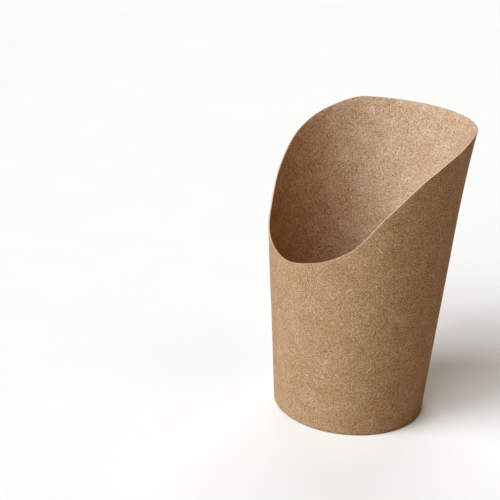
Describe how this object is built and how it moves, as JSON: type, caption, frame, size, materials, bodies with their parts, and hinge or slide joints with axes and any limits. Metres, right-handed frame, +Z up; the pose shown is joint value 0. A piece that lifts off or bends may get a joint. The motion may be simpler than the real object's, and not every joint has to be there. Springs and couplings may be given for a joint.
{
  "type": "paper scoop cup",
  "caption": "Empty kraft board scoop cup for chips: a tapered round wall with a tall back, a rim that sweeps down to a low front, and a flat base set up inside its foot.",
  "frame": {"origin": "middle of the cup's box, on the surface that it stands on", "axes": "+Z up; -Y towards the low front of the scoop; +Y towards the tall back, where the wall is lapped"},
  "size_m": [0.0788, 0.0762, 0.118],
  "materials": {
    "kraft_board": "uncoated brown kraft board with short light and dark fibres, matt",
    "kraft_base": "the same brown kraft board, matt"
  },
  "bodies": {
    "root": {"wall": "kraft_board", "base": "kraft_base"}
  },
  "joints": []
}
